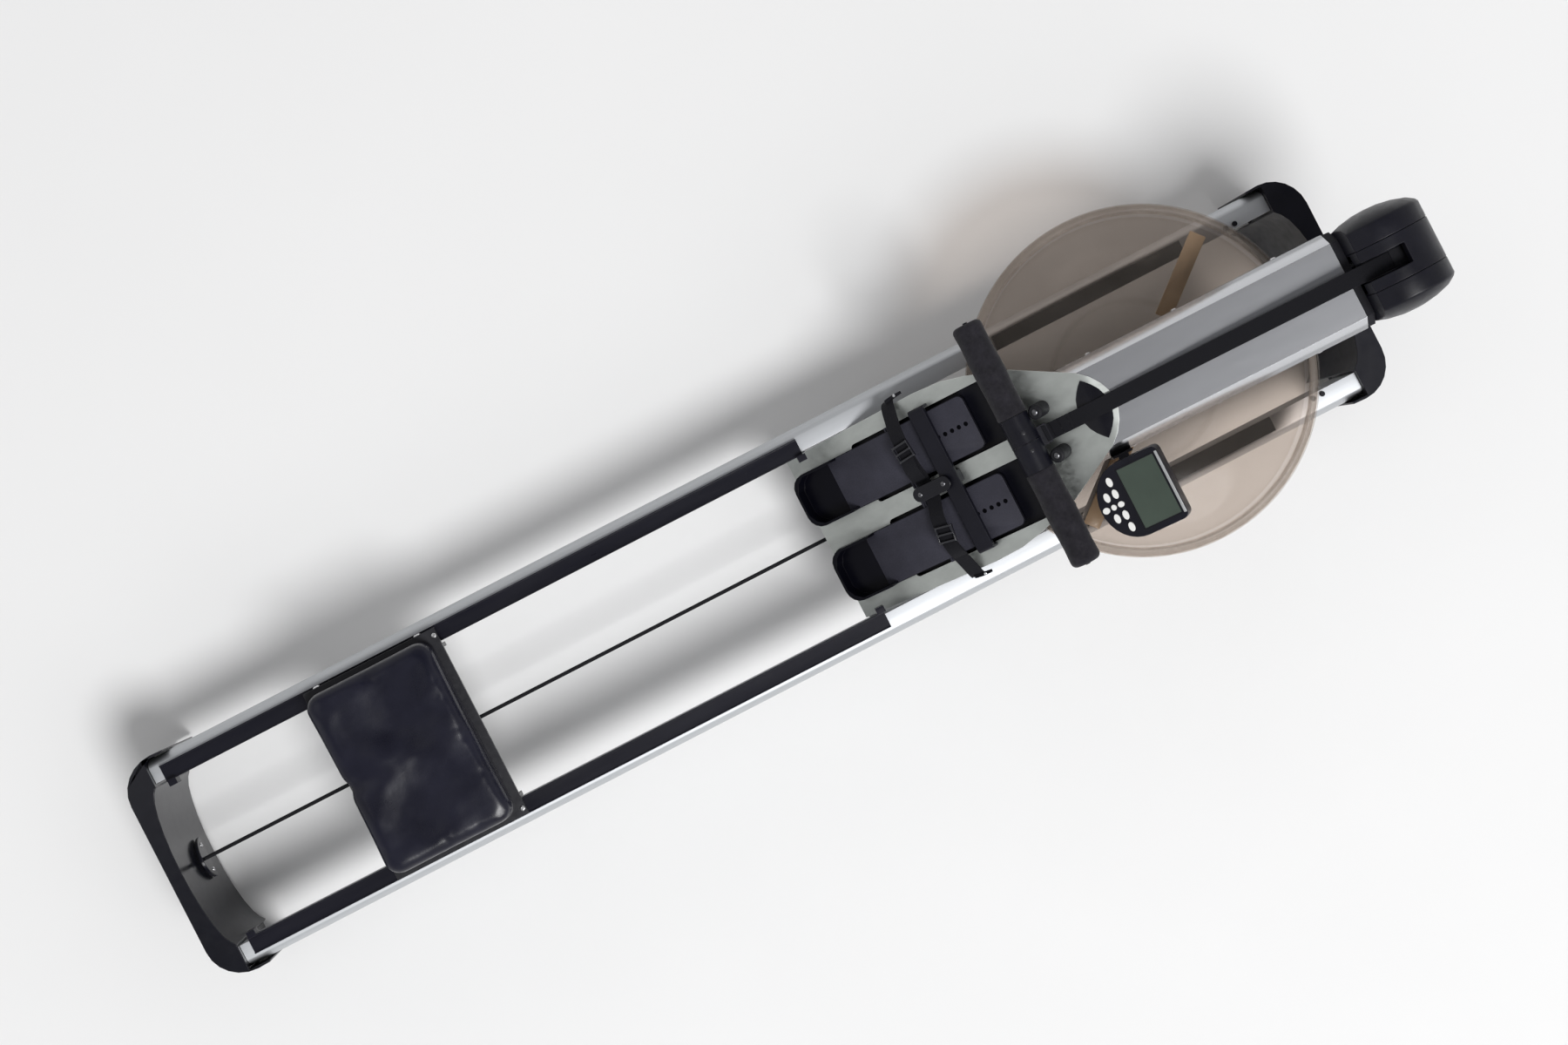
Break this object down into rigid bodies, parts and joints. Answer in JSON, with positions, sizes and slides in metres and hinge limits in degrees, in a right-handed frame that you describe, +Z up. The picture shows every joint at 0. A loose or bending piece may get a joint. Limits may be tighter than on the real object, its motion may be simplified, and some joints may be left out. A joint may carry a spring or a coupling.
{
  "type": "rowing machine",
  "caption": "Low rowing machine with aluminium side rails, sliding seat, sloped footboard, strap-pulled handle, round water tank with paddle, and tilting monitor.",
  "frame": {"origin": "on the floor under the centre of the machine's bounding box", "axes": "+X forward to the pulley nose, +Y to the rower's left, +Z up"},
  "size_m": [2.138, 0.544, 0.529],
  "materials": {
    "aluminium": "satin anodised",
    "satin_aluminium": "satin, grey-green",
    "black_metal": "black powder coat",
    "black_plastic": "matte moulded",
    "wheel_plastic": "smooth",
    "rubber": "matte",
    "foam_grip": "matte foam",
    "seat_skin": "soft moulded skin",
    "webbing": "woven",
    "smoked_tank": "smoked clear",
    "water": "clear liquid",
    "paddle_plastic": "clear brown",
    "screen": "satin",
    "button_white": "satin"
  },
  "bodies": {
    "frame": {"rail_left": "aluminium", "rail_right": "aluminium", "beam": "aluminium", "front_strut": "aluminium", "foot_crossbar": "aluminium", "footplate": "satin_aluminium", "monitor_arm": "black_metal", "rear_crossmember": "black_plastic", "front_crossmember": "black_plastic", "runner_left": "black_plastic", "runner_right": "black_plastic", "foot_tracks": "black_plastic", "toe_bar": "black_plastic", "strap_clamp": "black_plastic", "strap_guide": "black_plastic", "nose_casing": "black_plastic", "nose_cheek_left": "black_plastic", "nose_cheek_right": "black_plastic", "fill_cap": "black_plastic", "rotor_bearing": "black_plastic", "cord_anchor": "black_plastic", "rear_foot": "rubber", "front_foot": "rubber", "handle_rest_left": "rubber", "handle_rest_right": "rubber", "tank_seal": "rubber", "tank_pad_left": "rubber", "tank_pad_right": "rubber", "foot_strap_left": "webbing", "foot_strap_right": "webbing", "pull_strap": "webbing", "drive_strap": "webbing", "recoil_cord": "webbing", "tank_lower": "smoked_tank", "tank_upper": "smoked_tank", "water": "water"},
    "seat": {"seat_pad": "seat_skin", "seat_carriage": "black_metal"},
    "seat_front_axle": {"seat_wheels_front": "wheel_plastic"},
    "seat_rear_axle": {"seat_wheels_rear": "wheel_plastic"},
    "handle": {"handle_core": "black_plastic", "handle_grip_left": "foam_grip", "handle_grip_right": "foam_grip"},
    "pulley": {"nose_pulley": "black_plastic"},
    "drum": {"strap_drum": "black_plastic"},
    "paddle": {"rotor": "paddle_plastic"},
    "heel_left": {"heel_rest_left": "black_plastic"},
    "heel_right": {"heel_rest_right": "black_plastic"},
    "monitor": {"monitor_case": "black_plastic", "monitor_screen": "screen"},
    "transport_axle": {"transport_wheels": "rubber"},
    "key_left": {"button_left": "button_white"},
    "key_upper_left": {"button_upper_left": "button_white"},
    "key_lower_left": {"button_lower_left": "button_white"},
    "key_arrow_front": {"button_arrow_front": "button_white"},
    "key_centre": {"button_centre": "button_white"},
    "key_arrow_rear": {"button_arrow_rear": "button_white"},
    "key_upper_right": {"button_upper_right": "button_white"},
    "key_lower_right": {"button_lower_right": "button_white"},
    "key_right": {"button_right": "button_white"}
  },
  "joints": [
    {"name": "seat_slide", "type": "slide", "parent": "frame", "child": "seat", "axis": [1, 0, 0], "range_m": [-0.24, 0.617]},
    {"name": "seat_front_wheels_spin", "type": "hinge", "parent": "seat", "child": "seat_front_axle", "pos_m": [-0.5475, 0, 0.2231], "axis": [0, 1, 0], "continuous": true},
    {"name": "seat_rear_wheels_spin", "type": "hinge", "parent": "seat", "child": "seat_rear_axle", "pos_m": [-0.7235, 0, 0.2231], "axis": [0, 1, 0], "continuous": true},
    {"name": "handle_pull", "type": "slide", "parent": "frame", "child": "handle", "axis": [-0.995, 0, 0.0998], "range_m": [0, 1.25], "stiffness_N_per_m": 12, "springref_m": -1.5, "deforming": ["pull_strap"]},
    {"name": "pulley_spin", "type": "hinge", "parent": "frame", "child": "pulley", "pos_m": [0.995, 0, 0.455], "axis": [0, 1, 0], "continuous": true},
    {"name": "drum_spin", "type": "hinge", "parent": "frame", "child": "drum", "pos_m": [0.631, 0, 0.3575], "axis": [0, 0, 1], "continuous": true},
    {"name": "paddle_spin", "type": "hinge", "parent": "frame", "child": "paddle", "pos_m": [0.631, 0, 0.26], "axis": [0, 0, 1], "continuous": true},
    {"name": "heel_left_slide", "type": "slide", "parent": "frame", "child": "heel_left", "axis": [0.859, 0, 0.512], "range_m": [0, 0.056]},
    {"name": "heel_right_slide", "type": "slide", "parent": "frame", "child": "heel_right", "axis": [0.859, 0, 0.512], "range_m": [0, 0.056]},
    {"name": "monitor_tilt", "type": "hinge", "parent": "frame", "child": "monitor", "pos_m": [0.534, -0.1419, 0.395], "axis": [0, 1, 0], "range_deg": [-8, 24]},
    {"name": "transport_wheels_spin", "type": "hinge", "parent": "frame", "child": "transport_axle", "pos_m": [0.971, 0, 0.036], "axis": [0, 1, 0], "continuous": true},
    {"name": "press_left", "type": "slide", "parent": "monitor", "child": "key_left", "axis": [0.4067, 0, -0.9135], "range_m": [0, 0.0012], "stiffness_N_per_m": 300},
    {"name": "press_upper_left", "type": "slide", "parent": "monitor", "child": "key_upper_left", "axis": [0.4067, 0, -0.9135], "range_m": [0, 0.0012], "stiffness_N_per_m": 300},
    {"name": "press_lower_left", "type": "slide", "parent": "monitor", "child": "key_lower_left", "axis": [0.4067, 0, -0.9135], "range_m": [0, 0.0012], "stiffness_N_per_m": 300},
    {"name": "press_arrow_front", "type": "slide", "parent": "monitor", "child": "key_arrow_front", "axis": [0.4067, 0, -0.9135], "range_m": [0, 0.0012], "stiffness_N_per_m": 300},
    {"name": "press_centre", "type": "slide", "parent": "monitor", "child": "key_centre", "axis": [0.4067, 0, -0.9135], "range_m": [0, 0.0012], "stiffness_N_per_m": 300},
    {"name": "press_arrow_rear", "type": "slide", "parent": "monitor", "child": "key_arrow_rear", "axis": [0.4067, 0, -0.9135], "range_m": [0, 0.0012], "stiffness_N_per_m": 300},
    {"name": "press_upper_right", "type": "slide", "parent": "monitor", "child": "key_upper_right", "axis": [0.4067, 0, -0.9135], "range_m": [0, 0.0012], "stiffness_N_per_m": 300},
    {"name": "press_lower_right", "type": "slide", "parent": "monitor", "child": "key_lower_right", "axis": [0.4067, 0, -0.9135], "range_m": [0, 0.0012], "stiffness_N_per_m": 300},
    {"name": "press_right", "type": "slide", "parent": "monitor", "child": "key_right", "axis": [0.4067, 0, -0.9135], "range_m": [0, 0.0012], "stiffness_N_per_m": 300}
  ],
  "couplings": [
    {"joint": "seat_front_wheels_spin", "follows": "seat_slide", "rad_per_m": 54.054},
    {"joint": "seat_rear_wheels_spin", "follows": "seat_slide", "rad_per_m": 54.054},
    {"joint": "pulley_spin", "follows": "handle_pull", "rad_per_m": -21.39},
    {"joint": "drum_spin", "follows": "handle_pull", "rad_per_m": -31.746}
  ]
}
